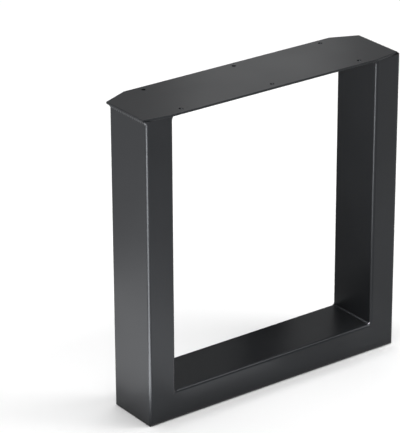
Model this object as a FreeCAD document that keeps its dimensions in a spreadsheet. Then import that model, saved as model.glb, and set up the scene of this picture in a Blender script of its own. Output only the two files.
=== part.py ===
import FreeCAD, Part

import math
import os

import Sketcher
from FreeCAD import Placement, Rotation, Vector

# U-shaped steel bench leg: a frame of rectangular tube under a drilled fixing plate.
#
# Two uprights and a floor bar are cut from the same tube and mitred together, and a
# thin flat plate closes the tops of the uprights. Units are millimetres. The origin is
# on the floor under the middle of the frame, with +X along the floor bar, +Y across it
# from front to back, and +Z up.

# Driving sizes: name, value, meaning
SIZES = [
    ("frame_width", 400, "over the outer faces of the uprights"),
    ("leg_height", 420, "floor to the top face of the plate"),
    ("tube_depth", 80, "wide side of the tube, across the frame"),
    ("tube_thickness", 40, "narrow side of the tube, in the plane of the frame"),
    ("tube_wall", 2, "wall of the tube"),
    ("tube_corner", 4, "outer corner radius of the tube"),
    ("ground_corner", 1.5, "radius left where an outer mitre weld is ground"),
    ("plate_thickness", 3, "thickness of the fixing plate"),
    ("left_overhang", 4, "plate past the left upright"),
    ("right_inset", 4, "plate short of the right upright's outer face"),
    ("front_overhang", 4, "plate past the front of the tube"),
    ("back_overhang", 16, "plate past the back of the tube"),
    ("clip_length", 37, "each clipped corner, along the plate"),
    ("front_clip", 6, "depth of the two clips at the front"),
    ("back_clip", 16, "depth of the two clips at the back"),
    ("plate_rim", 0.5, "rounding of the plate's top and bottom edges"),
    ("hole_diameter", 6, "screw hole"),
    ("hole_end_margin", 60, "plate's end to the nearest holes"),
    ("hole_side_margin", 10, "plate's long edge to a row of holes"),
    ("plate_weld_leg", 7, "legs of a weld between an upright and the plate"),
    ("corner_weld_leg", 2.5, "legs of a weld between an upright and the floor bar"),
    ("weld_wrap", 2.5, "run of a plate weld round the tube's corners"),
]

HOLES_PER_ROW = 3
HOLE_ROWS = 2

# A cutting outline reaches this far past the metal
PAST = 5

# Half sizes and heights that several pieces share
HALF_WIDTH = "Size.frame_width / 2"
HALF_DEPTH = "Size.tube_depth / 2"
HALF_THICKNESS = "Size.tube_thickness / 2"
TUBE_TOP = "(Size.leg_height - Size.plate_thickness)"
PLATE_HALF_LENGTH = "(Size.frame_width + Size.left_overhang - Size.right_inset) / 2"
PLATE_HALF_WIDTH = "(Size.tube_depth + Size.front_overhang + Size.back_overhang) / 2"

HALF_TURN = 180
QUARTER_CIRCLE = math.pi / 2

doc = FreeCAD.newDocument("bench_leg")
sheet = doc.addObject("Spreadsheet::Sheet", "Size")
for row, (name, size, meaning) in enumerate(SIZES, start=1):
    sheet.set(f"A{row}", name)
    sheet.set(f"B{row}", str(size))
    sheet.setAlias(f"B{row}", name)
    sheet.set(f"C{row}", meaning)
doc.recompute()


def value(expression):
    """Number that an expression of sizes gives."""
    return float(sheet.evalExpression(str(expression)))


# Sketches: every outline is placed by expressions of the sizes


def origin_feature(body, role):
    """Origin plane or axis of a body."""
    return next(item for item in body.Origin.OriginFeatures if item.Role == role)


def new_sketch(body, name, plane):
    """Sketch on one of the body's own origin planes."""
    sketch = body.newObject("Sketcher::SketchObject", f"{body.Name}_{name}")
    sketch.AttachmentSupport = [(origin_feature(body, plane), "")]
    sketch.MapMode = "FlatFace"
    return sketch


def set_distance(sketch, kind, geometry, point, expression):
    """Place one point of a sketch, along X or Y from its origin, by an expression."""
    constraint = Sketcher.Constraint(kind, -1, 1, geometry, point, value(expression))
    index = sketch.addConstraint(constraint)
    sketch.setExpression(f"Constraints[{index}]", str(expression))


def set_radius(sketch, geometry, expression):
    """Give an arc or a circle its radius by an expression."""
    index = sketch.addConstraint(Sketcher.Constraint("Radius", geometry, value(expression)))
    sketch.setExpression(f"Constraints[{index}]", str(expression))


def vector(corner):
    """Point of a sketch from a pair of expressions."""
    return Vector(value(corner[0]), value(corner[1]), 0)


def draw_chain(sketch, corners, closed=True):
    """Straight lines through corners, each a pair of expressions."""
    stops = corners[1:] + corners[:1] if closed else corners[1:]
    lines = []
    for start, stop in zip(corners, stops):
        line = sketch.addGeometry(Part.LineSegment(vector(start), vector(stop)))
        set_distance(sketch, "DistanceX", line, 1, start[0])
        set_distance(sketch, "DistanceY", line, 1, start[1])
        lines.append(line)
    if closed:
        followers = lines[1:] + lines[:1]
    else:
        set_distance(sketch, "DistanceX", lines[-1], 2, corners[-1][0])
        set_distance(sketch, "DistanceY", lines[-1], 2, corners[-1][1])
        followers = lines[1:]
    for line, follower in zip(lines, followers):
        sketch.addConstraint(Sketcher.Constraint("Coincident", line, 2, follower, 1))
    return lines


def close_with_arc(sketch, lines, centre, radius):
    """Arc, anticlockwise, from the end of a chain of lines back to its start."""
    begin = sketch.Geometry[lines[-1]].EndPoint
    end = sketch.Geometry[lines[0]].StartPoint
    middle = vector(centre)
    start_angle = math.atan2(begin.y - middle.y, begin.x - middle.x)
    end_angle = math.atan2(end.y - middle.y, end.x - middle.x)
    circle = Part.Circle(middle, Vector(0, 0, 1), value(radius))
    arc = sketch.addGeometry(Part.ArcOfCircle(circle, start_angle, end_angle))
    sketch.addConstraint(Sketcher.Constraint("Coincident", lines[-1], 2, arc, 1))
    sketch.addConstraint(Sketcher.Constraint("Coincident", arc, 2, lines[0], 1))
    set_radius(sketch, arc, radius)


def draw_rounded_rectangle(sketch, low, high, radius):
    """Rectangle between two corners, each a pair of expressions, with equal round corners."""
    left, bottom = value(low[0]), value(low[1])
    right, top = value(high[0]), value(high[1])
    r = value(radius)
    sides = [
        (Vector(left + r, bottom), Vector(right - r, bottom)),
        (Vector(right, bottom + r), Vector(right, top - r)),
        (Vector(right - r, top), Vector(left + r, top)),
        (Vector(left, top - r), Vector(left, bottom + r)),
    ]
    centres = [
        Vector(right - r, bottom + r),
        Vector(right - r, top - r),
        Vector(left + r, top - r),
        Vector(left + r, bottom + r),
    ]
    lines = [sketch.addGeometry(Part.LineSegment(start, stop)) for start, stop in sides]
    arcs = []
    for turn, centre in enumerate(centres, start=-1):
        circle = Part.Circle(centre, Vector(0, 0, 1), r)
        begin = turn * QUARTER_CIRCLE
        arcs.append(sketch.addGeometry(Part.ArcOfCircle(circle, begin, begin + QUARTER_CIRCLE)))
    for line, arc, follower in zip(lines, arcs, lines[1:] + lines[:1]):
        sketch.addConstraint(Sketcher.Constraint("Tangent", line, 2, arc, 1))
        sketch.addConstraint(Sketcher.Constraint("Tangent", arc, 2, follower, 1))
    for index, line in enumerate(lines):
        direction = "Vertical" if index % 2 else "Horizontal"
        sketch.addConstraint(Sketcher.Constraint(direction, line))
    for arc in arcs[1:]:
        sketch.addConstraint(Sketcher.Constraint("Equal", arcs[0], arc))
    set_radius(sketch, arcs[0], radius)
    set_distance(sketch, "DistanceY", lines[0], 1, low[1])
    set_distance(sketch, "DistanceX", lines[1], 1, high[0])
    set_distance(sketch, "DistanceY", lines[2], 1, high[1])
    set_distance(sketch, "DistanceX", lines[3], 1, low[0])


# Bodies: what is padded, cut and placed


def new_body(label):
    """Empty body named after its piece."""
    return doc.addObject("PartDesign::Body", label)


def pad(body, sketch, length, side_type="One side"):
    """Solid of a sketch's outline, as long as an expression says."""
    feature = body.newObject("PartDesign::Pad", f"{body.Name}_pad")
    feature.Profile = sketch
    feature.SideType = side_type
    feature.setExpression("Length", length)
    doc.recompute()
    return feature


def cut_through(body, sketch):
    """Cut a sketch's outline right through the body, both ways from its plane."""
    before = body.Shape.Volume
    feature = body.newObject("PartDesign::Pocket", f"{sketch.Name}_cut")
    feature.Profile = sketch
    feature.Type = "ThroughAll"
    feature.SideType = "Symmetric"
    doc.recompute()
    if not body.Shape.Volume < before:
        raise ValueError(f"{feature.Name} takes nothing away")
    return feature


def place(body, x="0", y="0", z="0", rotation=Rotation()):
    """Put a body where three expressions say, turned about its own origin."""
    body.Placement = Placement(Vector(0, 0, 0), rotation)
    for axis, expression in zip("xyz", (x, y, z)):
        body.setExpression(f"Placement.Base.{axis}", expression)
    doc.recompute()


# Frame: three lengths of one tube


def draw_tube_section(sketch, low, high):
    """Outer and inner outline of the tube, between two corners of its section."""
    draw_rounded_rectangle(sketch, low, high, "Size.tube_corner")
    inner_low = [f"{edge} + Size.tube_wall" for edge in low]
    inner_high = [f"{edge} - Size.tube_wall" for edge in high]
    draw_rounded_rectangle(sketch, inner_low, inner_high, "Size.tube_corner - Size.tube_wall")


def cut_mitre(body, outer_x, far_corner):
    """Cut 45 degrees from the floor corner at outer_x, on the side of far_corner."""
    sketch = new_sketch(body, "mitre", "XZ_Plane")
    inner_x = f"{outer_x} + Size.tube_thickness + {PAST}"
    inner_z = f"Size.tube_thickness + {PAST}"
    low = (f"{outer_x} - {PAST}", f"-{PAST}")
    draw_chain(sketch, [low, (inner_x, inner_z), far_corner])
    return cut_through(body, sketch)


def round_ground_corner(body, outer_x):
    """Round the sharp outer edge of the mitre, where the weld was ground smooth."""
    sketch = new_sketch(body, "ground", "XZ_Plane")
    start = (f"{outer_x} + Size.ground_corner", "0")
    stop = (outer_x, "Size.ground_corner")
    beyond = [
        (start[0], f"-{PAST}"),
        (f"{outer_x} - {PAST}", f"-{PAST}"),
        (f"{outer_x} - {PAST}", stop[1]),
    ]
    lines = draw_chain(sketch, [start, *beyond, stop], closed=False)
    close_with_arc(sketch, lines, (start[0], stop[1]), "Size.ground_corner")
    return cut_through(body, sketch)


def make_upright(label, x, rotation):
    """Upright, standing on its mitre, its outer face towards its own -X."""
    body = new_body(label)
    section = new_sketch(body, "section", "XY_Plane")
    low = (f"-{HALF_THICKNESS}", f"-{HALF_DEPTH}")
    draw_tube_section(section, low, (HALF_THICKNESS, HALF_DEPTH))
    pad(body, section, TUBE_TOP)
    outer_x = f"-{HALF_THICKNESS}"
    cut_mitre(body, outer_x, (f"{HALF_THICKNESS} + {PAST}", f"-{PAST}"))
    round_ground_corner(body, outer_x)
    place(body, x=x, rotation=rotation)
    return body


def make_floor_bar():
    """Bar on the floor, mitred at both ends, the right end a mirror of the left."""
    body = new_body("floor_bar")
    section = new_sketch(body, "section", "YZ_Plane")
    draw_tube_section(section, (f"-{HALF_DEPTH}", "0"), (HALF_DEPTH, "Size.tube_thickness"))
    pad(body, section, "Size.frame_width", side_type="Symmetric")
    outer_x = f"-{HALF_WIDTH}"
    mitre = cut_mitre(body, outer_x, (f"{outer_x} - {PAST}", f"Size.tube_thickness + {PAST}"))
    ground = round_ground_corner(body, outer_x)
    mirrored = body.newObject("PartDesign::Mirrored", "floor_bar_right_end")
    mirrored.Originals = [mitre, ground]
    mirrored.MirrorPlane = (origin_feature(body, "YZ_Plane"), [""])
    body.Tip = mirrored
    place(body)
    return body


# Fixing plate: drawn about its own middle, which is not quite the frame's


def cap_faces(feature):
    """Names of the faces that look straight up or down."""
    names = []
    for number, face in enumerate(feature.Shape.Faces, start=1):
        if abs(face.normalAt(0, 0).z) > 0.99:
            names.append(f"Face{number}")
    return names


def draw_clipped_plate(sketch):
    """Plate outline, with a long shallow clip at each corner."""
    end_x = PLATE_HALF_LENGTH
    clip_x = f"{end_x} - Size.clip_length"
    front = f"-{PLATE_HALF_WIDTH}"
    end_front = f"{front} + Size.front_clip"
    end_back = f"{PLATE_HALF_WIDTH} - Size.back_clip"
    right_side = [
        (clip_x, front),
        (end_x, end_front),
        (end_x, end_back),
        (clip_x, PLATE_HALF_WIDTH),
    ]
    left_side = [(f"-({x})", y) for x, y in reversed(right_side)]
    draw_chain(sketch, right_side + left_side)


def make_top_plate():
    """Flat plate across both uprights, with two rows of screw holes."""
    body = new_body("top_plate")
    outline = new_sketch(body, "outline", "XY_Plane")
    draw_clipped_plate(outline)
    blank = pad(body, outline, "Size.plate_thickness")
    rim = body.newObject("PartDesign::Fillet", "top_plate_rim")
    rim.Base = (blank, cap_faces(blank))
    rim.setExpression("Radius", "Size.plate_rim")
    doc.recompute()

    hole = new_sketch(body, "hole", "XY_Plane")
    centre_x = f"Size.hole_end_margin - {PLATE_HALF_LENGTH}"
    centre_y = f"Size.hole_side_margin - {PLATE_HALF_WIDTH}"
    circle = Part.Circle(vector((centre_x, centre_y)), Vector(0, 0, 1), value("Size.hole_diameter / 2"))
    outline_of_hole = hole.addGeometry(circle)
    set_radius(hole, outline_of_hole, "Size.hole_diameter / 2")
    set_distance(hole, "DistanceX", outline_of_hole, 3, centre_x)
    set_distance(hole, "DistanceY", outline_of_hole, 3, centre_y)
    drilled = cut_through(body, hole)

    grid = body.newObject("PartDesign::LinearPattern", "top_plate_hole_grid")
    grid.Originals = [drilled]
    grid.Direction = (origin_feature(body, "X_Axis"), [""])
    grid.Direction2 = (origin_feature(body, "Y_Axis"), [""])
    grid.Occurrences = HOLES_PER_ROW
    grid.Occurrences2 = HOLE_ROWS
    grid.setExpression("Length", f"2 * ({PLATE_HALF_LENGTH} - Size.hole_end_margin)")
    grid.setExpression("Length2", f"2 * ({PLATE_HALF_WIDTH} - Size.hole_side_margin)")
    body.Tip = grid
    place(
        body,
        x="-(Size.left_overhang + Size.right_inset) / 2",
        y="(Size.back_overhang - Size.front_overhang) / 2",
        z=TUBE_TOP,
    )
    return body


# Welds: a bead fills a corner at its own origin, with legs along its own +X and +Z


def draw_bead(sketch, run, rise, wrap=None):
    """Section of a bead with a hollow face; a wrap reaches back past the tube's face."""
    heel = [("0", "0")] if wrap is None else [(f"-{wrap}", "0"), (f"-{wrap}", rise)]
    lines = draw_chain(sketch, [(run, "0"), *heel, ("0", rise)], closed=False)
    centre = (
        f"({run} + sqrt(3) * {rise}) / 2",
        f"({rise} + sqrt(3) * {run}) / 2",
    )
    close_with_arc(sketch, lines, centre, f"sqrt(({run})^2 + ({rise})^2)")


def make_plate_weld(label, run, x, rotation):
    """Bead between a face of an upright and the plate, wrapped round the tube's corners."""
    body = new_body(label)
    section = new_sketch(body, "section", "XZ_Plane")
    draw_bead(section, run, "Size.plate_weld_leg", "Size.weld_wrap")
    pad(body, section, "Size.tube_depth", side_type="Symmetric")
    tube = new_sketch(body, "tube", "XY_Plane")
    low = ("-Size.tube_thickness", f"-{HALF_DEPTH}")
    draw_rounded_rectangle(tube, low, ("0", HALF_DEPTH), "Size.tube_corner")
    cut_through(body, tube)
    place(body, x=x, z=TUBE_TOP, rotation=rotation)
    return body


def make_ledge_weld(label, run, x):
    """Bead on the tube's top, beside the plate's end, no wider than the tube's outline."""
    body = new_body(label)
    section = new_sketch(body, "section", "XZ_Plane")
    draw_bead(section, run, "Size.plate_thickness")
    pad(body, section, "Size.tube_depth", side_type="Symmetric")
    around = new_sketch(body, "around", "XY_Plane")
    low = (f"{run} - Size.tube_thickness", f"-{HALF_DEPTH}")
    high = (run, HALF_DEPTH)
    draw_rounded_rectangle(around, low, high, "Size.tube_corner")
    low_x, low_y = (f"{edge} - {PAST}" for edge in low)
    high_x, high_y = (f"{edge} + {PAST}" for edge in high)
    draw_chain(around, [(low_x, low_y), (high_x, low_y), (high_x, high_y), (low_x, high_y)])
    cut_through(body, around)
    place(body, x=x, z=TUBE_TOP)
    return body


def make_corner_weld(label, x, rotation):
    """Bead between an upright and the floor bar, on the flat of the tube."""
    body = new_body(label)
    section = new_sketch(body, "section", "XZ_Plane")
    draw_bead(section, "Size.corner_weld_leg", "Size.corner_weld_leg")
    pad(body, section, "Size.tube_depth - 2 * Size.tube_corner", side_type="Symmetric")
    place(body, x=x, z="Size.tube_thickness", rotation=rotation)
    return body


about_x = Rotation(Vector(1, 0, 0), HALF_TURN)
about_y = Rotation(Vector(0, 1, 0), HALF_TURN)
about_z = Rotation(Vector(0, 0, 1), HALF_TURN)
inner_face = f"({HALF_WIDTH} - Size.tube_thickness)"

pieces = [
    make_upright("left_upright", f"{HALF_THICKNESS} - {HALF_WIDTH}", Rotation()),
    make_upright("right_upright", f"{HALF_WIDTH} - {HALF_THICKNESS}", about_z),
    make_floor_bar(),
    make_top_plate(),
    make_plate_weld("left_plate_weld", "Size.plate_weld_leg", f"-{inner_face}", about_x),
    make_plate_weld("right_plate_weld", "Size.plate_weld_leg", inner_face, about_y),
    make_plate_weld("left_end_weld", "Size.left_overhang", f"-{HALF_WIDTH}", about_y),
    make_ledge_weld("right_end_weld", "Size.right_inset", f"{HALF_WIDTH} - Size.right_inset"),
    make_corner_weld("left_corner_weld", f"-{inner_face}", Rotation()),
    make_corner_weld("right_corner_weld", inner_face, about_z),
]
doc.recompute()

# Nothing is written until every object has built

for item in doc.Objects:
    if "Invalid" in item.State or "Error" in item.State:
        raise RuntimeError(f"{item.Name} did not build: {item.State}")
for piece in pieces:
    shape = piece.Shape
    if shape.isNull() or not shape.isValid() or len(shape.Solids) != 1:
        raise RuntimeError(f"{piece.Label} is not one sound solid")

os.makedirs("parts", exist_ok=True)
for piece in pieces:
    piece.Shape.exportStep(f"parts/{piece.Label}.step")
    box = piece.Shape.BoundBox
    print(
        f"{piece.Label}: {piece.Shape.Volume:.0f} mm3,"
        f" X {box.XMin:.2f} to {box.XMax:.2f},"
        f" Y {box.YMin:.2f} to {box.YMax:.2f},"
        f" Z {box.ZMin:.2f} to {box.ZMax:.2f}"
    )
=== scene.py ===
# %% [markdown]
# # A welded bench leg in satin black
#
# The object is a bench or table leg: a U of 80 x 40 mm steel tube, mitred at the floor, closed
# at the top by a thin plate with six screw holes. All of it was welded, ground where it shows,
# and then powder-coated black in one go.
#
# The steel parts come from the CAD model, at their real size, and stay as they are. What is
# left to do here is what a coating line and a welder leave behind: the skin of powder coat, and
# the rippled weld beads, which are too irregular to be worth drawing in CAD.

# %% Load the CAD model as a fixed frame
import math
import random

import bpy
from mathutils import Euler, Matrix, Vector


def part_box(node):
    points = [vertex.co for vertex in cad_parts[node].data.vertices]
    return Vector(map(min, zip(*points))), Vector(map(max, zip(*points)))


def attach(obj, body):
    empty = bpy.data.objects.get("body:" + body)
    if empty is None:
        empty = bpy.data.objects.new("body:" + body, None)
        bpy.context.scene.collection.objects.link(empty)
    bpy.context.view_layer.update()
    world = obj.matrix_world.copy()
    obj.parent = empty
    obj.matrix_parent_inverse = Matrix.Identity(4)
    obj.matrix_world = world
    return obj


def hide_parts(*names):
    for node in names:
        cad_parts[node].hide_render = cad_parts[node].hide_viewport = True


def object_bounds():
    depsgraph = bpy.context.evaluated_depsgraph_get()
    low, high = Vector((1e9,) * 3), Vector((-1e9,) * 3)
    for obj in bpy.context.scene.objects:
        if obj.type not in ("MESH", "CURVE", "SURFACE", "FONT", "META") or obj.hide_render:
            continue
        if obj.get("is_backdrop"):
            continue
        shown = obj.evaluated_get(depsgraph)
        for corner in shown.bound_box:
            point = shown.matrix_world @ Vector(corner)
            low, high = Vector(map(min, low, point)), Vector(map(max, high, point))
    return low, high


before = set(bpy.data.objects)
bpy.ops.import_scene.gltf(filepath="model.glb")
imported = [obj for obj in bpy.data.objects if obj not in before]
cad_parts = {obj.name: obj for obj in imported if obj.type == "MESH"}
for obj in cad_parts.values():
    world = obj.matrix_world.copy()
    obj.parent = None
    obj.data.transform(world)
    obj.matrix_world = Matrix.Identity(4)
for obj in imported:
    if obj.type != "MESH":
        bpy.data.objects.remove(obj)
cad_low, cad_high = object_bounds()
MM = 0.001
print("nodes:", ", ".join(sorted(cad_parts)))
print("size in mm:", [round(side / MM, 1) for side in cad_high - cad_low])

# %% [markdown]
# ## The camera
#
# The leg is seen from its front left, from a little above, with a long lens a few metres away.
# The camera could be placed by typing its coordinates, but two angles, a distance and the point
# that it looks at say the same thing in a way that a photographer can check: walk 36 degrees
# round to the left, look down by 24 degrees, stand back 3.3 m.
#
# Blender's sensor width belongs to the longer side of the picture, which is the upright one
# here, so a long lens of about 217 mm fills the frame with a 42 cm leg at that distance.

# %% Place the camera
CAMERA_AZIMUTH = 36.02
CAMERA_ELEVATION = 23.82
CAMERA_ROLL = -0.29
CAMERA_DISTANCE = 3.304
CAMERA_LENS = 217.2
LOOK_AT = Vector((-0.0917, 0.0, 0.2504))


def camera_direction(azimuth, elevation):
    """Direction that a camera looks in, from the angles that it is turned and tilted by."""
    turn, tilt = math.radians(azimuth), math.radians(elevation)
    return Vector((math.sin(turn) * math.cos(tilt), math.cos(turn) * math.cos(tilt), -math.sin(tilt)))


forward = camera_direction(CAMERA_AZIMUTH, CAMERA_ELEVATION)
camera_data = bpy.data.cameras.new("portrait_lens")
camera_data.lens = CAMERA_LENS
camera = bpy.data.objects.new("camera", camera_data)
camera.location = LOOK_AT - forward * CAMERA_DISTANCE
level = forward.to_track_quat("-Z", "Y").to_matrix()
rolled = level @ Matrix.Rotation(math.radians(CAMERA_ROLL), 3, "Z")
camera.rotation_euler = rolled.to_euler()
bpy.context.scene.collection.objects.link(camera)
bpy.context.scene.camera = camera
print("camera at", [round(x, 3) for x in camera.location], "m")

# %% [markdown]
# ## Colours
#
# A colour picked on a screen is an sRGB value, but Blender's shaders work with linear light.
# Typing sRGB numbers straight into a shader makes every dark colour far too light, and black
# paint is where that shows most. One function turns a hex value into linear light, and every
# colour below goes through it.

# %% Turn sRGB hex colours to linear light
def linear(hex_colour):
    """Linear RGBA of an sRGB colour such as #202224."""
    channels = []
    for start in (1, 3, 5):
        encoded = int(hex_colour[start:start + 2], 16) / 255
        if encoded <= 0.04045:
            channels.append(encoded / 12.92)
        else:
            channels.append(((encoded + 0.055) / 1.055) ** 2.4)
    return (*channels, 1.0)


print("a coal black of #202224 is", [round(c, 4) for c in linear("#202224")[:3]], "in linear light")

# %% [markdown]
# ## Adding nodes
#
# A material is a small graph. Written out call by call it is mostly repetition, so one function
# adds a node, sets its values and plugs in what feeds it. A setting that is a property of the
# node is given by its name, and a socket is given by its label in the dictionary of inputs.
#
# Some nodes hold several sockets under one label, such as the number, vector and colour inputs
# of a Mix node. Only those of the chosen type are switched on, so a socket is looked up among
# these.

# %% Add a node with its settings and links
def find_socket(sockets, label):
    """The socket with this label that is switched on."""
    return next(socket for socket in sockets if socket.name == label and socket.enabled)


def add_node(tree, kind, output, inputs=None, **settings):
    """A new node, given back as its output. An input is a value, or another node's output."""
    node = tree.nodes.new(kind)
    for name, setting in settings.items():
        setattr(node, name, setting)
    for label, given in (inputs or {}).items():
        socket = find_socket(node.inputs, label)
        if isinstance(given, bpy.types.NodeSocket):
            tree.links.new(given, socket)
        else:
            socket.default_value = given
    return find_socket(node.outputs, output)


# %% [markdown]
# ## The floor
#
# Product pictures like this are taken on a white sweep. A plane of matt white paint is enough,
# because the camera looks down and sees nothing but floor. It is large, so that the horizon is
# far off when the leg is looked at from low down.

# %% Lay a white floor
FLOOR_SIDE = 60.0
FLOOR_WHITE = "#fbfbfb"
MATT_ROUGHNESS = 0.9

floor_mesh = bpy.data.meshes.new("floor")
edge = FLOOR_SIDE / 2
floor_corners = [(-edge, -edge, 0), (edge, -edge, 0), (edge, edge, 0), (-edge, edge, 0)]
floor_mesh.from_pydata(floor_corners, [], [(0, 1, 2, 3)])
floor = bpy.data.objects.new("floor", floor_mesh)
bpy.context.scene.collection.objects.link(floor)
floor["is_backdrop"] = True

white_paint = bpy.data.materials.new("matt white floor paint")
white_paint.use_nodes = True
paint_shader = white_paint.node_tree.nodes["Principled BSDF"]
paint_shader.inputs["Base Color"].default_value = linear(FLOOR_WHITE)
paint_shader.inputs["Roughness"].default_value = MATT_ROUGHNESS
paint_shader.inputs["Specular IOR Level"].default_value = 0.0
floor_mesh.materials.append(white_paint)
print("floor", FLOOR_SIDE, "m wide")

# %% [markdown]
# ## Light
#
# Satin black has almost no colour of its own: what is seen on it is the room, blurred. So light
# is placed by what each face mirrors, not by what it shines on. Seen from above, the upright
# faces mirror the white floor beside them, and the plate mirrors the wall far behind it. An even,
# pale room therefore does most of the work, and its wall is brightest near the floor, so that
# floor and wall meet softly.

# %% Surround the leg with a pale room
WALL_LIGHT = 0.95
CEILING_LIGHT = 0.33
WALL_TOP = 0.28

room = bpy.data.worlds.new("pale room")
room.use_nodes = True
room_background = room.node_tree.nodes["Background"]
room_background.inputs["Color"].default_value = (1.0, 1.0, 1.0, 1.0)
room_direction = add_node(room.node_tree, "ShaderNodeTexCoord", "Generated")
room_height = add_node(room.node_tree, "ShaderNodeSeparateXYZ", "Z", {"Vector": room_direction})
room_light = add_node(
    room.node_tree,
    "ShaderNodeMapRange",
    "Result",
    {
        "Value": room_height,
        "From Min": 0.0,
        "From Max": WALL_TOP,
        "To Min": WALL_LIGHT,
        "To Max": CEILING_LIGHT,
    },
    interpolation_type="SMOOTHSTEP",
)
room.node_tree.links.new(room_light, room_background.inputs["Strength"])
bpy.context.scene.world = room

# the usual film look greys out white, so the picture keeps plain sRGB
bpy.context.scene.view_settings.view_transform = "Standard"
print("room light from", CEILING_LIGHT, "to", WALL_LIGHT)

# %% [markdown]
# ## Lamps
#
# One large soft lamp overhead whitens the floor. The others are there for reflections.
#
# A rounded corner mirrors a wide fan of directions at once, so a lamp anywhere in that fan draws
# a thin bright line along it. The upright corners mirror the floor, so two light panels lie there,
# in a line that leads away from the front left corner. A flat face can mirror a whole panel where
# it is seen from behind or from the side. The line is therefore turned 22.5 degrees off the floor
# bar, which leaves the left end no more than a soft streak from behind.
#
# The top edges look up to the front right, so a softbox hangs there, and a small one behind the
# leg gives the plate its soft bright middle. Two weak panels close to the leg lighten the front
# and the left side towards the foot.
#
# A last one, no larger than a hand, has a grid in front that keeps its light in a narrow beam. It
# puts a bright spot on the weld in the lower right corner and touches nothing else.

# %% Hang a soft lamp
def add_softbox(name, place, target, width, height, brightness):
    """A rectangular soft lamp. Brightness 1 looks like a sheet of white paper in full light."""
    lamp = bpy.data.lights.new(name, "AREA")
    lamp.shape = "RECTANGLE"
    lamp.size = width
    lamp.size_y = height
    lamp.energy = brightness * math.pi * width * height
    softbox = bpy.data.objects.new(name, lamp)
    softbox.location = place
    softbox.rotation_euler = (Vector(target) - Vector(place)).to_track_quat("-Z", "Y").to_euler()
    softbox.visible_camera = False
    bpy.context.scene.collection.objects.link(softbox)
    print(f"{name}: {lamp.energy:.2f} W")
    return softbox


add_softbox("top_softbox", (0.0, 0.2, 4.0), (0.0, 0.2, 0.0), 5.0, 5.0, 2.2)
add_softbox("edge_softbox", (1.2, -0.9, 1.9), (0.0, 0.0, 0.2), 0.8, 0.8, 6.0)
add_softbox("back_softbox", (0.39, 0.50, 0.70), (0.02, 0.0, 0.42), 0.25, 0.25, 0.65)

# %% Lay light panels on the floor
PANEL_LIFT = 3 * MM
EDGE_LINE = 22.5


def add_floor_panel(name, x, y, width, depth, brightness, turn=0.0):
    """A light panel that lies on the floor and shines up, turned by an angle in degrees."""
    panel = add_softbox(name, (x, y, PANEL_LIFT), (x, y, 1.0), width, depth, brightness)
    panel.rotation_euler = Euler((math.pi, 0.0, math.radians(turn)))
    return panel


add_floor_panel("near_edge_panel", -0.518, -0.172, 0.54, 0.20, 15.0, EDGE_LINE)
add_floor_panel("far_edge_panel", -1.159, -0.437, 0.9, 0.60, 18.0, EDGE_LINE)
add_floor_panel("front_panel", -0.04, -0.23, 0.16, 0.3, 1.15)
add_floor_panel("left_panel", -0.34, 0.20, 0.22, 0.32, 0.9)

# %% Point a lamp with a grid at the lower right corner
GRID_SPREAD = 6.0
NEAR_CORNER = (0.157, -0.046, 0.043)
corner_softbox = add_softbox("corner_softbox", (-0.069, -0.36, 0.336), NEAR_CORNER, 0.06, 0.06, 12.0)
corner_softbox.data.spread = math.radians(GRID_SPREAD)
corner_softbox.visible_diffuse = False

# %% [markdown]
# ## Cards
#
# The face inside the right upright and the top of the floor bar would mirror the pale room as
# well and turn grey. A photographer stands dark cards where those faces look, just out of the
# picture. Two pale grey ones lie farther off on the floor, where the tops of the uprights look,
# so that these get a little darker towards the plate.
#
# The cards are left out of what the camera and the shadows see, so they only darken reflections.

# %% Place cards where they are only mirrored
CARD_LIFT = 2 * MM


def card_paper(name, colour):
    """Matt paper for a card."""
    paper = bpy.data.materials.new(name)
    paper.use_nodes = True
    shader = paper.node_tree.nodes["Principled BSDF"]
    shader.inputs["Base Color"].default_value = linear(colour)
    shader.inputs["Roughness"].default_value = MATT_ROUGHNESS
    return paper


def add_card(name, low, high, paper):
    """A card between two corners: upright where their Y is equal, lying where their Z is."""
    mesh = bpy.data.meshes.new(name)
    corners = [low, (high[0], low[1], low[2]), high, (low[0], high[1], high[2])]
    mesh.from_pydata(corners, [], [(0, 1, 2, 3)])
    mesh.materials.append(paper)
    card = bpy.data.objects.new(name, mesh)
    bpy.context.scene.collection.objects.link(card)
    for ray in ("camera", "diffuse", "transmission", "shadow"):
        setattr(card, "visible_" + ray, False)
    card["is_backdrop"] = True
    print(f"{name} from {low} to {high}")
    return card


black_paper = card_paper("black card", "#101010")
grey_paper = card_paper("grey card", "#9e9e9e")
pale_paper = card_paper("pale grey card", "#d6d6d6")
add_card("tall_card", (0.11, 0.19, 0.0), (0.20, 0.19, 0.42), black_paper)
add_card("grey_card", (-0.25, 0.18, 0.0), (0.11, 0.18, 0.42), grey_paper)
add_card("lying_card", (-0.20, 0.06, CARD_LIFT), (0.11, 0.17, CARD_LIFT), black_paper)
add_card("far_card", (-1.10, 0.40, CARD_LIFT), (-0.42, 1.20, CARD_LIFT), pale_paper)
add_card("front_card", (0.00, -1.15, CARD_LIFT), (0.95, -0.50, CARD_LIFT), pale_paper)

# %% [markdown]
# ## Powder-coated steel
#
# Powder coat is dry polyester resin, sprayed on and melted in an oven into one skin about
# 0.08 mm thick. It isn't metallic, but a plastic film full of carbon black. A satin one scatters
# its highlights widely, and two things give it away. The skin flows unevenly as it melts and
# keeps a faint orange peel, with waves 1 to 3 mm long. Its gloss and depth also drift a little
# over a hand's width, where the film is thicker or thinner.
#
# One principled shader does this. The IOR starts from the 1.5 of polyester, and is matched down
# to 1.36, because the film's matting agent takes some of the mirrored light away. The orange
# peel is a bump two hundredths of a millimetre high. A real wave is one or two pixels wide here,
# so it is drawn 4 mm long to show at all.

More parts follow.
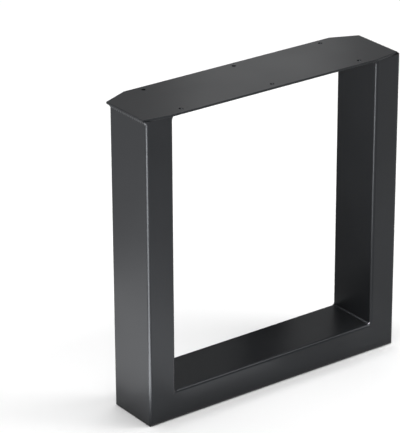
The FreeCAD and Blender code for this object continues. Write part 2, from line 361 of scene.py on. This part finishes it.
# %% Mix the powder coat
COAT_BLACK = "#101113"
COAT_THIN = "#18191b"
COAT_SHEEN = "#f5f9ff"
COAT_IOR = 1.36
STEEL_ROUGHNESS = (0.30, 0.36)
PEEL_WAVE = 4 * MM
PEEL_HEIGHT = 0.02 * MM
DRIFT_WAVE = 90 * MM

# a noise texture stays mostly between these two values
NOISE_LOW = 0.3
NOISE_HIGH = 0.7


def powder_coat(name, roughness):
    """Satin black powder coat. Its roughness drifts between two values."""
    material = bpy.data.materials.new(name)
    material.use_nodes = True
    tree = material.node_tree
    shader = tree.nodes["Principled BSDF"]
    place = add_node(tree, "ShaderNodeTexCoord", "Object")

    drift = add_node(
        tree,
        "ShaderNodeTexNoise",
        "Fac",
        {"Vector": place, "Scale": 1 / DRIFT_WAVE, "Detail": 2.0, "Roughness": 0.45},
    )
    film = add_node(
        tree,
        "ShaderNodeMix",
        "Result",
        {"Factor": drift, "A": linear(COAT_BLACK), "B": linear(COAT_THIN)},
        data_type="RGBA",
    )
    gloss = add_node(
        tree,
        "ShaderNodeMapRange",
        "Result",
        {
            "Value": drift,
            "From Min": NOISE_LOW,
            "From Max": NOISE_HIGH,
            "To Min": roughness[0],
            "To Max": roughness[1],
        },
    )
    peel = add_node(
        tree,
        "ShaderNodeTexNoise",
        "Fac",
        {"Vector": place, "Scale": 1 / PEEL_WAVE, "Detail": 3.0, "Roughness": 0.5},
    )
    skin = add_node(
        tree,
        "ShaderNodeBump",
        "Normal",
        {"Height": peel, "Strength": 1.0, "Distance": PEEL_HEIGHT},
    )
    tree.links.new(film, shader.inputs["Base Color"])
    tree.links.new(gloss, shader.inputs["Roughness"])
    tree.links.new(skin, shader.inputs["Normal"])
    shader.inputs["IOR"].default_value = COAT_IOR
    shader.inputs["Specular Tint"].default_value = linear(COAT_SHEEN)
    shader.inputs["Metallic"].default_value = 0.0
    return material


coated_steel = powder_coat("powder-coated steel", STEEL_ROUGHNESS)
print("powder coat mixed, roughness", STEEL_ROUGHNESS)

# %% Coat the tubes and the plate
STEEL_NODES = ("left_upright", "right_upright", "floor_bar", "top_plate")
for node_name in STEEL_NODES:
    node_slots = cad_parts[node_name].material_slots
    for node_slot in node_slots:
        node_slot.material = coated_steel
    print(node_name, "coated in", len(node_slots), "slot")

# %% [markdown]
# ## Weld beads
#
# The plate is held by fillet welds: one in each upper corner of the window, and one at each end,
# where the plate stops short of the tube or reaches past it. Two short ones close the window's
# lower corners. The mitre welds on the outside were ground flush and coated over, so nothing of
# them shows.
#
# A weld is laid by a melted drop that moves along the joint and freezes behind the arc. Each
# little stop leaves a ripple, and because the middle stays liquid longest, every ripple is a
# crescent. The face is slightly hollow, the legs are never quite even, and the bead starts and
# stops in a rounded nose.
#
# The CAD model has each bead as a plain hollow-faced solid. Here a mesh with the same legs stands
# in for it. A bump map could fake the ripples on a smooth face, but their outline would stay too
# clean, so they are real geometry: rings of points set along the seam.
#
# The coat on a bead is the same powder, a little duller from the ripples under it.

# %% Mix the powder coat for the beads
WELD_ROUGHNESS = (0.38, 0.44)
coated_weld = powder_coat("powder-coated weld", WELD_ROUGHNESS)
print("powder coat mixed, roughness", WELD_ROUGHNESS)

# %% [markdown]
# ### Ripples
#
# A hand weld like this has a ripple about every 2 mm, little more than a pixel here. They are
# drawn 3.6 mm apart to show, and none is exactly as long as the next.

# %% Lay ripples along a seam
RIPPLE_PITCH = 3.6 * MM
RIPPLE_CHANGE = 0.3


def ripple_marks(length, chance):
    """Distances along a seam at which one ripple ends and the next begins."""
    marks = [0.0]
    while marks[-1] < length:
        change = chance.uniform(1 - RIPPLE_CHANGE, 1 + RIPPLE_CHANGE)
        marks.append(marks[-1] + RIPPLE_PITCH * change)
    return marks


def ripple_phase(marks, distance):
    """How many ripples lie before a distance, with the part of the one that is under way."""
    for index in range(len(marks) - 1):
        if distance < marks[index + 1]:
            return index + (distance - marks[index]) / (marks[index + 1] - marks[index])
    return float(len(marks) - 1)


test_marks = ripple_marks(20 * MM, random.Random(1))
print("marks of a 20 mm seam in mm:", [round(mark / MM, 1) for mark in test_marks])

# %% [markdown]
# ### The section of a bead
#
# Across the seam a bead fills a corner: two legs along two steel faces, joined by a shallow
# hollow. A quadratic curve between the two toes, pulled towards the corner, is close to the arc
# of the CAD model. Its depth is a share of the distance between the toes. The ripples are cut
# into this curve, with sharp valleys and round crowns, and they lag behind in the middle, which
# bends them into crescents.

# %% Draw one ring of points across the seam
HOLLOW = 0.134
SECTION_STEPS = 10
RIPPLE_DEPTH = 0.6 * MM
CRESCENT_LAG = 0.55
FULL_RIPPLE_SIZE = 6 * MM


def bead_section(leg_out, leg_up, foot, phase):
    """Points from one toe to the other, as distances out and up from the corner.

    The foot of the upright leg lies this far back, where the tube is rounded.
    """
    chord = math.hypot(leg_out, leg_up)
    normal_out, normal_up = leg_up / chord, leg_out / chord
    pull = 2 * HOLLOW * chord
    middle_out = leg_out / 2 - pull * normal_out
    middle_up = leg_up / 2 - pull * normal_up
    ring = []
    for step in range(SECTION_STEPS + 1):
        t = step / SECTION_STEPS
        crown = 4 * t * (1 - t)
        valley = 1 - abs(math.sin(math.pi * (phase + CRESCENT_LAG * crown)))
        cut = RIPPLE_DEPTH * valley * math.sqrt(crown) * min(1.0, chord / FULL_RIPPLE_SIZE)
        out = (1 - t) ** 2 * leg_out + 2 * t * (1 - t) * middle_out - cut * normal_out
        up = t ** 2 * leg_up + 2 * t * (1 - t) * middle_up - cut * normal_up
        ring.append((out - t * foot, up))
    return ring


test_middle = bead_section(7 * MM, 7 * MM, 0.0, 0.5)[SECTION_STEPS // 2]
print("throat of a 7 mm bead in mm:", round(math.hypot(*test_middle) / MM, 2))

# %% [markdown]
# ### Where the tube is rounded
#
# Every bead runs straight along Y, but at the ends of the seam the tube's corner is rounded and
# the steel falls away from the seam. The beads go on over the rounding for a few millimetres,
# because a welder starts and stops outside the joint.

# %% Follow the rounded corner of the tube
TUBE_CORNER = 4 * MM
FLAT_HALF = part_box("left_upright")[1].y - TUBE_CORNER


def corner_fall(y):
    """How far the tube's rounded corner has fallen away from its flat face at y."""
    past = min(max(abs(y) - FLAT_HALF, 0.0), TUBE_CORNER)
    return TUBE_CORNER - math.sqrt(TUBE_CORNER ** 2 - past ** 2)


def bead_end(fall):
    """How far along Y a bead goes on, until the corner has fallen away by so much."""
    return FLAT_HALF + math.sqrt(TUBE_CORNER ** 2 - (TUBE_CORNER - fall) ** 2)


print("a bead that goes on to a fall of 2.5 mm ends at", round(bead_end(2.5 * MM) / MM, 2), "mm")

# %% [markdown]
# ### Uneven legs and rounded noses
#
# Two slow waves that don't repeat together make each leg swell and shrink by up to a fifth, as a
# hand does. At its ends the bead closes in a nose, and a short weld also leaves a puddle there,
# because the drop stands still while the arc starts and stops.

# %% Size the legs along a bead
LUMP_LENGTH = 8.5 * MM
LUMP_SHARE = 0.18
LUMP_START = 8 * MM
FIRST_WAVE = 0.3
SECOND_WAVE = 0.2
NOSE = 2.2 * MM
NOSE_START = 0.15
PUDDLE_LENGTH = 3 * MM


def nose_scale(from_end):
    """Share of its full size that a bead has this far from its end."""
    if from_end >= NOSE:
        return 1.0
    return NOSE_START + (1 - NOSE_START) * math.sqrt(1 - (1 - from_end / NOSE) ** 2)


def leg_length(full, along, from_end, swell, pace, puddle):
    """Length of a leg at one place.

    The swell gives the start of its two waves, and the second one runs at so many times the
    pace of the first.
    """
    turn = math.tau * along / LUMP_LENGTH
    lump = 0.5 + FIRST_WAVE * math.sin(turn + swell[0])
    lump += SECOND_WAVE * math.sin(pace * turn + swell[1])
    share = LUMP_SHARE * min(1.0, from_end / LUMP_START)
    extra = puddle * math.exp(-(from_end / PUDDLE_LENGTH) ** 2)
    return (full * (1 - share * lump) + extra) * nose_scale(from_end)


print("nose of a bead:", [round(nose_scale(step * 0.5 * MM), 2) for step in range(6)])

# %% [markdown]
# ### From rings to a solid
#
# The rings are joined into one closed skin with a cap at each end. Blender needs to know which
# side of a face is outside, and a seam that is mirrored turns every face over, so its faces are
# turned back. Each bead then takes the place of its CAD node.

# %% Join rings into a closed bead
SHARP_ANGLE = 50.0


def is_closed(mesh):
    """True where every edge has exactly two faces."""
    uses = {}
    for face in mesh.polygons:
        for edge in face.edge_keys:
            uses[edge] = uses.get(edge, 0) + 1
    return all(count == 2 for count in uses.values())


def bead_mesh(node, rings, turned_over):
    """Closed mesh through rings of points, riding on the leg in place of its CAD node."""
    size = len(rings[0])
    points = [point for ring in rings for point in ring]
    faces = []
    for ring in range(len(rings) - 1):
        for side in range(size):
            here, beside = ring * size + side, ring * size + (side + 1) % size
            faces.append((here, beside, beside + size, here + size))
    faces.append(tuple(reversed(range(size))))
    faces.append(tuple(range(len(points) - size, len(points))))
    if turned_over:
        faces = [tuple(reversed(face)) for face in faces]
    mesh = bpy.data.meshes.new(node + "_bead")
    mesh.from_pydata(points, [], faces)
    mesh.materials.append(coated_weld)
    mesh.shade_smooth()
    mesh.set_sharp_from_angle(angle=math.radians(SHARP_ANGLE))
    bead = bpy.data.objects.new(node + "_bead", mesh)
    bpy.context.scene.collection.objects.link(bead)
    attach(bead, "root")
    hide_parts(node)
    print(f"{bead.name}: {len(faces)} faces, closed: {is_closed(mesh)}")
    return bead


# %% [markdown]
# ### One bead
#
# A bead needs its corner line, the way that each leg points, and the two leg lengths. What it
# does at the rounding depends on its joint. Under the plate its foot reaches back to stay on the
# tube. Inside the frame both faces fall away, so the whole bead follows them. On top of the tube
# it only gets narrower. Its heel goes a fifth of a millimetre into the steel, as weld metal does,
# so that no slit of light shows.

# %% Lay one bead
RING_SPACING = 0.2 * MM
FUSION = 0.2 * MM
OUT_PACE = 2.3
UP_PACE = 1.7


def weld_bead(node, corner, out, up, joint, fall, puddle):
    """Rippled bead in place of a CAD weld. Its corner is (x, z); out and up are 1 or -1."""
    low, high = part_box(node)
    run = high.x - corner[0] if out > 0 else corner[0] - low.x
    rise = high.z - corner[1] if up > 0 else corner[1] - low.z
    chance = random.Random(node)
    last = bead_end(fall)
    marks = ripple_marks(2 * last, chance)
    swell = [chance.uniform(0, math.tau) for _ in range(4)]
    rings = []
    count = round(2 * last / RING_SPACING)
    for index in range(count + 1):
        along = 2 * last * index / count
        y = along - last
        from_end = min(along, 2 * last - along)
        leg_out = leg_length(run, along, from_end, swell[:2], OUT_PACE, puddle)
        leg_up = leg_length(rise, along, from_end, swell[2:], UP_PACE, puddle)
        x, z, foot = corner[0], corner[1], 0.0
        if joint == "under the plate":
            foot = corner_fall(y)
        elif joint == "inside the frame":
            x, z = x - out * corner_fall(y), z - up * corner_fall(y)
        else:
            leg_out = min(leg_out, run - corner_fall(y))
        face = bead_section(leg_out, leg_up, foot, ripple_phase(marks, along))
        heel = [(-foot - FUSION, leg_up), (-foot - FUSION, -FUSION), (leg_out, -FUSION)]
        rings.append([(x + out * a, y, z + up * b) for a, b in face + heel])
    return bead_mesh(node, rings, turned_over=out * up > 0)


# %% [markdown]
# ### The six beads
#
# Corners and legs are read from the boxes of the CAD nodes, so a change of a size in the CAD
# model is followed here. Each row gives a bead's node, its corner, the two ways that its legs
# point, its joint, the fall of the rounding where it ends, and its puddle.

# %% Lay the six beads
window_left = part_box("left_upright")[1].x
window_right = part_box("right_upright")[0].x
tube_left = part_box("left_upright")[0].x
tube_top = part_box("left_upright")[1].z
bar_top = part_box("floor_bar")[1].z
plate_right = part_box("top_plate")[1].x

SEAMS = (
    ("left_plate_weld", (window_left, tube_top), 1, -1, "under the plate", 2.5 * MM, 0.0),
    ("right_plate_weld", (window_right, tube_top), -1, -1, "under the plate", 2.5 * MM, 0.0),
    ("left_end_weld", (tube_left, tube_top), -1, -1, "under the plate", 2.5 * MM, 0.0),
    ("right_end_weld", (plate_right, tube_top), 1, 1, "on top of the tube", 2.0 * MM, 0.0),
    ("left_corner_weld", (window_left, bar_top), 1, 1, "inside the frame", 2.5 * MM, 2.0 * MM),
    ("right_corner_weld", (window_right, bar_top), -1, 1, "inside the frame", 2.5 * MM, 2.0 * MM),
)
for node, corner, out, up, joint, fall, puddle in SEAMS:
    weld_bead(node, corner, out, up, joint, fall, puddle)

# %% [markdown]
# ## Measure the size
# #
# # The looks must not make the leg larger than the CAD model, so the box of the whole leg is
# # measured again, and how far it reaches past the CAD box on each side is printed.

# %% Print how far the leg has grown past the CAD box
low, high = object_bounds()
growth = [*(cad_low - low), *(high - cad_high)]
print("grown in mm:", [round(side / MM, 3) for side in growth])
